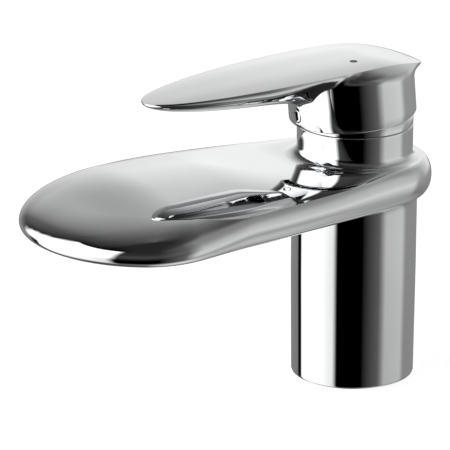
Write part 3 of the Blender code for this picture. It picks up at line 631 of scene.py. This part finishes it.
def make_dome_ring():
    """The bright ring that stands on the neck and closes in over the nut."""
    start_z = PIVOT_Z + math.sqrt(DOME_BALL_R ** 2 - NECK_R ** 2)
    outside = ball_path(DOME_BALL_R, start_z, DOME_TOP, 20)
    inside = ball_path(DOME_BALL_R - DOME_WALL, DOME_TOP - 0.15, DOME_FOOT + 1.5, 16)
    return turned("dome_ring", [(NECK_R, DOME_FOOT), *outside, *inside, (inside[-1][0], DOME_FOOT)])


def make_aerator_shell():
    """The aerator's housing, with four notches in its lip for the key."""
    bottom, outer, inner, lip = SPOUT_UNDERSIDE + 0.2, AERATOR_R, AERATOR_R - 1.8, AERATOR_R - 3.0
    ledge = bottom + 1.0
    profile = [(lip, bottom + 0.2), (lip + 0.2, bottom), (outer - 0.3, bottom),
               (outer - 0.08, bottom + 0.09), (outer, bottom + 0.3), (outer, AERATOR_TOP),
               (inner, AERATOR_TOP), (inner, ledge), (lip, ledge)]
    shell = turned("aerator_shell", profile, (0.0, AERATOR_Y), 96)
    notches = []
    for i in range(4):
        a = math.radians(90.0 * i + 45.0)
        at = (lip * math.cos(a), AERATOR_Y + lip * math.sin(a))
        notches.append(rod(f"key_notch_{i}", 0.8, bottom - 1.0, bottom + 1.5, at, 16))
    return cut(shell, *notches)


def make_deck_gasket():
    """The rubber ring in its groove in the foot."""
    inner, outer, top = DECK_CAVITY_R - 1.2, GASKET_SEAT_R - 0.3, GASKET_SEAT_DEPTH - 0.3
    bottom, ease = 0.2, 0.15
    profile = [(inner, bottom + ease), (inner + ease, bottom), (outer - ease, bottom),
               (outer, bottom + ease), (outer, top), (inner, top)]
    return turned("deck_gasket", profile)


# --- finishes ---------------------------------------------------------------------------------

def math_node(nodes, links, operation, *values):
    """A maths node fed by numbers or sockets; returns its output."""
    node = nodes.new("ShaderNodeMath")
    node.operation = operation
    for socket, value in zip(node.inputs, values):
        if isinstance(value, float):
            socket.default_value = value
        else:
            links.new(value, socket)
    return node.outputs[0]


def noise_node(nodes, links, vector, scale, detail):
    noise = nodes.new("ShaderNodeTexNoise")
    noise.inputs["Scale"].default_value = scale
    noise.inputs["Detail"].default_value = detail
    links.new(vector, noise.inputs["Vector"])
    return noise.outputs["Fac"]


def mapped(nodes, links, value, low, high):
    """Stretch the middle of a noise's range over low to high."""
    node = nodes.new("ShaderNodeMapRange")
    node.inputs["From Min"].default_value = 0.3
    node.inputs["From Max"].default_value = 0.7
    node.inputs["To Min"].default_value = low
    node.inputs["To Max"].default_value = high
    links.new(value, node.inputs["Value"])
    return node.outputs["Result"]


def finish(name, tones, metallic, roughness, patch, grain, relief,
           stretch=(1.0, 1.0, 1.0), coat=0.0):
    """A finish whose tone, roughness and relief vary over the piece.

    tones and roughness are (low, high); patch and grain are the sizes in mm of the slow variation
    and the fine relief, relief is its height in mm, and stretch draws the grain out along an axis.
    """
    made = bpy.data.materials.new(name)
    made.use_nodes = True
    nodes, links = made.node_tree.nodes, made.node_tree.links
    shader = nodes["Principled BSDF"]
    shader.inputs["Metallic"].default_value = metallic
    shader.inputs["Coat Weight"].default_value = coat
    place = nodes.new("ShaderNodeTexCoord").outputs["Object"]
    drawn = nodes.new("ShaderNodeMapping")
    drawn.inputs["Scale"].default_value = stretch
    links.new(place, drawn.inputs["Vector"])
    slow = noise_node(nodes, links, place, 1000.0 / patch, 3.0)
    fine = noise_node(nodes, links, drawn.outputs["Vector"], 1000.0 / grain, 4.0)
    mix = nodes.new("ShaderNodeMix")
    mix.data_type = "RGBA"
    mix.inputs["A"].default_value = (*tones[0], 1.0)
    mix.inputs["B"].default_value = (*tones[1], 1.0)
    links.new(mapped(nodes, links, slow, 0.0, 1.0), mix.inputs["Factor"])
    links.new(mix.outputs["Result"], shader.inputs["Base Color"])
    half_fine = math_node(nodes, links, "MULTIPLY", fine, 0.5)
    both = math_node(nodes, links, "MULTIPLY_ADD", slow, 0.5, half_fine)
    links.new(mapped(nodes, links, both, *roughness), shader.inputs["Roughness"])
    bump = nodes.new("ShaderNodeBump")
    bump.inputs["Strength"].default_value = 1.0
    bump.inputs["Distance"].default_value = relief * MM
    links.new(fine, bump.inputs["Height"])
    links.new(bump.outputs["Normal"], shader.inputs["Normal"])
    return made


def make_finishes():
    return {
        "chrome_plating": finish("chrome_plating", ((0.90, 0.905, 0.915), (0.93, 0.935, 0.94)), 1.0,
                                 (0.022, 0.04), 22.0, 1.6, 0.00012),
        "bare_brass": finish("bare_brass", ((0.60, 0.41, 0.17), (0.78, 0.58, 0.28)), 1.0,
                             (0.24, 0.42), 6.0, 0.5, 0.02, (1.0, 1.0, 5.0)),
        "bare_steel": finish("bare_steel", ((0.50, 0.51, 0.53), (0.66, 0.67, 0.69)), 1.0,
                             (0.2, 0.36), 4.0, 0.35, 0.012, (1.0, 1.0, 4.0)),
        "white_ceramic": finish("white_ceramic", ((0.84, 0.83, 0.79), (0.9, 0.89, 0.86)), 0.0,
                                (0.1, 0.24), 3.0, 0.3, 0.004, coat=0.2),
        "black_rubber": finish("black_rubber", ((0.014, 0.014, 0.015), (0.035, 0.035, 0.037)), 0.0,
                               (0.6, 0.82), 3.0, 0.25, 0.02),
        "white_plastic": finish("white_plastic", ((0.74, 0.74, 0.72), (0.83, 0.83, 0.81)), 0.0,
                                (0.36, 0.52), 5.0, 0.3, 0.01),
        "grey_plastic": finish("grey_plastic", ((0.28, 0.3, 0.33), (0.36, 0.38, 0.41)), 0.0,
                               (0.38, 0.56), 5.0, 0.3, 0.012),
        "dark_plastic": finish("dark_plastic", ((0.018, 0.02, 0.024), (0.04, 0.044, 0.05)), 0.0,
                               (0.26, 0.42), 4.0, 0.25, 0.008),
    }


def give(obj, made):
    obj.data.materials.clear()
    obj.data.materials.append(made)


# --- studio -----------------------------------------------------------------------------------

CAMERA_AZIMUTH = -30.0        # degrees from +X, seen from above
CAMERA_PITCH = 0.329          # radians below the horizon
CAMERA_PLACE = (-0.049272, -1.221552, 0.475328)     # metres to the right, away and up
SENSOR_WIDTH = 36.0           # millimetres, as is the lens
LENS = 269.744
BACKGROUND = 1.05
FLOOR_R = 6000.0
FLOOR_GLOW = 0.8

# How bright the studio is in each direction. Each row is one height above or below the horizon in
# degrees, then (azimuth, brightness) stops right round. Azimuth is in degrees from the camera's own
# side, negative to its left. Both are blended in between. A large white panel stands to the left, a
# weaker one to the right, a pale wall behind, and dark card fills the front and the ceiling.
STUDIO = (
    (-60.0, ((-180, .10), (-120, .06), (-60, .10), (0, .20), (60, .75), (110, .60),
            (180, .10))),
    (-30.0, ((-180, .22), (-126, .16), (-122, .0), (-115, .0), (-112, 1.2), (-60, 1.1),
            (-40, .9), (-33, .0), (14, .0), (20, .02), (52, .10), (62, .32), (98, .36),
            (108, .20), (180, .22))),
    (-12.0, ((-180, .28), (-128, .24), (-124, .0), (-115, .0), (-112, 1.3), (-60, 1.1),
            (-40, .8), (-32, .0), (14, .0), (20, .02), (46, .12), (60, .62), (98, .68),
            (110, .32), (180, .28))),
    (-3.0, ((-180, .9), (-165, .5), (-150, .2), (-138, .1), (-130, 1.3), (-112, 1.4),
            (-60, 1.1), (-40, .9), (-33, .0), (14, .0), (20, .02), (46, .12), (62, .60),
            (100, .52), (118, .34), (150, .8), (180, .9))),
    (12.0, ((-180, .95), (-166, .5), (-150, .10), (-132, .02), (-126, 1.3), (-112, 1.4),
            (-38, 1.3), (-30, .03), (14, .03), (20, .04), (48, .10), (66, .50), (100, .44),
            (120, .40), (150, .75), (180, .95))),
    (19.0, ((-180, .80), (-165, .5), (-150, .12), (-128, .01), (-122, 1.3), (-38, 1.4),
            (-30, .06), (14, .06), (20, .07), (48, .12), (66, .44), (100, .38), (120, .36),
            (150, .68), (180, .80))),
    (27.0, ((-180, .64), (-165, .38), (-150, .12), (-122, .01), (-116, 1.3), (-38, 1.4),
            (-30, .05), (14, .05), (20, .06), (48, .12), (66, .34), (100, .30), (120, .36),
            (150, .60), (180, .64))),
    (37.0, ((-180, .54), (-165, .32), (-148, .10), (-116, .01), (-110, 1.3), (-38, 1.3),
            (-30, .03), (14, .03), (48, .10), (66, .26), (100, .26), (130, .40), (180, .54))),
    (52.0, ((-180, .36), (-160, .22), (-140, .07), (-110, .01), (-104, 1.3), (-38, 1.3),
            (-30, .02), (14, .02), (48, .10), (66, .22), (100, .22), (130, .30), (180, .36))),
    (54.0, ((-180, .33), (-160, .20), (-140, .07), (-104, .0), (-38, .0), (-20, .02), (14, .02),
            (48, .08), (66, .20), (100, .20), (130, .27), (180, .33))),
    (63.0, ((-180, .20), (-120, .05), (-60, .005), (-20, .02), (20, .02), (60, .05), (106, .10),
            (140, .16), (180, .20))),
    (75.0, ((-180, .11), (-60, .02), (0, .02), (60, .02), (110, .06), (180, .11))),
)


def brightness_round(nodes, links, azimuth, stops):
    """A grey ramp right round the horizon, from (degrees, brightness) stops."""
    node = nodes.new("ShaderNodeValToRGB")
    elements = node.color_ramp.elements
    while len(elements) > 1:
        elements.remove(elements[-1])
    for i, (angle, value) in enumerate(stops):
        place = (angle + 180.0) / 360.0
        element = elements[0] if i == 0 else elements.new(place)
        element.position = place
        element.color = (value, value, value, 1.0)
    links.new(azimuth, node.inputs["Fac"])
    return node.outputs["Color"]


def faded(nodes, links, height, low, high, below, above):
    """Go from one colour to another as the height goes from low to high degrees."""
    share = nodes.new("ShaderNodeMapRange")
    share.inputs["From Min"].default_value = low
    share.inputs["From Max"].default_value = high
    links.new(height, share.inputs["Value"])
    mix = nodes.new("ShaderNodeMix")
    mix.data_type = "RGBA"
    links.new(share.outputs["Result"], mix.inputs["Factor"])
    links.new(below, mix.inputs["A"])
    links.new(above, mix.inputs["B"])
    return mix.outputs["Result"]


def make_studio():
    """Light the tap from the table above. The camera itself sees a plain white background."""
    world = bpy.data.worlds.new("studio")
    bpy.context.scene.world = world
    world.use_nodes = True
    nodes, links = world.node_tree.nodes, world.node_tree.links
    nodes.clear()
    turn = nodes.new("ShaderNodeVectorRotate")
    turn.rotation_type = "Z_AXIS"
    turn.inputs["Angle"].default_value = math.radians(-CAMERA_AZIMUTH)
    links.new(nodes.new("ShaderNodeTexCoord").outputs["Generated"], turn.inputs["Vector"])
    split = nodes.new("ShaderNodeSeparateXYZ")
    links.new(turn.outputs["Vector"], split.inputs["Vector"])
    around = math_node(nodes, links, "ARCTAN2", split.outputs["Y"], split.outputs["X"])
    azimuth = math_node(nodes, links, "MULTIPLY_ADD", around, 0.5 / math.pi, 0.5)
    climb = math_node(nodes, links, "ARCSINE", split.outputs["Z"])
    height = math_node(nodes, links, "MULTIPLY", climb, 180.0 / math.pi)
    low, stops = STUDIO[0]
    shown = brightness_round(nodes, links, azimuth, stops)
    for high, stops in STUDIO[1:]:
        above = brightness_round(nodes, links, azimuth, stops)
        shown = faded(nodes, links, height, low, high, shown, above)
        low = high
    light = nodes.new("ShaderNodeBackground")
    links.new(shown, light.inputs["Color"])
    plain = nodes.new("ShaderNodeBackground")
    plain.inputs["Color"].default_value = (1.0, 1.0, 1.0, 1.0)
    plain.inputs["Strength"].default_value = BACKGROUND
    pick = nodes.new("ShaderNodeMixShader")
    links.new(nodes.new("ShaderNodeLightPath").outputs["Is Camera Ray"], pick.inputs["Fac"])
    links.new(light.outputs[0], pick.inputs[1])
    links.new(plain.outputs[0], pick.inputs[2])
    links.new(pick.outputs[0], nodes.new("ShaderNodeOutputWorld").inputs["Surface"])


def make_floor():
    """A pale round floor that takes a soft shadow and isn't seen in the plating."""
    bm = bmesh.new()
    bmesh.ops.create_circle(bm, cap_ends=True, segments=96, radius=FLOOR_R)
    floor = object_from(bm, "studio_floor")
    floor.visible_glossy = False
    made = bpy.data.materials.new("pale_floor")
    made.use_nodes = True
    nodes, links = made.node_tree.nodes, made.node_tree.links
    shader = nodes["Principled BSDF"]
    place = nodes.new("ShaderNodeTexCoord").outputs["Object"]
    speck = noise_node(nodes, links, place, 900.0, 3.0)
    links.new(mapped(nodes, links, speck, 0.7, 0.9), shader.inputs["Roughness"])
    shader.inputs["Base Color"].default_value = (0.9, 0.9, 0.9, 1.0)
    shader.inputs["Specular IOR Level"].default_value = 0.0
    shader.inputs["Emission Color"].default_value = (1.0, 1.0, 1.0, 1.0)
    shader.inputs["Emission Strength"].default_value = FLOOR_GLOW
    give(floor, made)


def make_camera():
    """A long lens, turned to the side of the spout and looking slightly down."""
    scene = bpy.context.scene
    azimuth = math.radians(CAMERA_AZIMUTH)
    right = Vector((-math.sin(azimuth), math.cos(azimuth), 0.0))
    away = Vector((-math.cos(azimuth), -math.sin(azimuth), 0.0))
    up = Vector((0.0, 0.0, 1.0))
    data = bpy.data.cameras.new("camera")
    data.sensor_width = SENSOR_WIDTH
    data.lens = LENS
    data.clip_start = 0.01
    data.clip_end = 20.0
    camera = bpy.data.objects.new("camera", data)
    scene.collection.objects.link(camera)
    camera.location = right * CAMERA_PLACE[0] + away * CAMERA_PLACE[1] + up * CAMERA_PLACE[2]
    forward = away * math.cos(CAMERA_PITCH) - up * math.sin(CAMERA_PITCH)
    camera.rotation_euler = forward.to_track_quat("-Z", "Y").to_euler()
    scene.camera = camera
    scene.view_settings.view_transform = "Standard"
    scene.view_settings.look = "None"


def main():
    """Make the stage, replace seven pieces with smooth skins and give every piece its finish."""
    make_camera()
    make_studio()
    make_floor()
    finishes = make_finishes()
    skins = (
        (make_body(), "body", "body_casting", "chrome_plating"),
        (make_lever(), "lever", "handle", "chrome_plating"),
        (make_screw_plug(), "lever", "screw_plug", "chrome_plating"),
        (make_index_dot(), "lever", "index_dot", "dark_plastic"),
        (make_dome_ring(), "body", "dome_cap", "chrome_plating"),
        (make_aerator_shell(), "body", "aerator_housing", "chrome_plating"),
        (make_deck_gasket(), "body", "base_gasket", "black_rubber"),
    )
    for piece, body, node, slot in skins:
        give(piece, finishes[slot])
        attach(piece, body)
        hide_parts(node)
    replaced = {node for _, _, node, _ in skins}
    for row in frame["record"]["subparts"]:
        if row["node"] not in replaced:
            give(frame["nodes"][row["node"]], finishes[row["material_slot"]])


main()
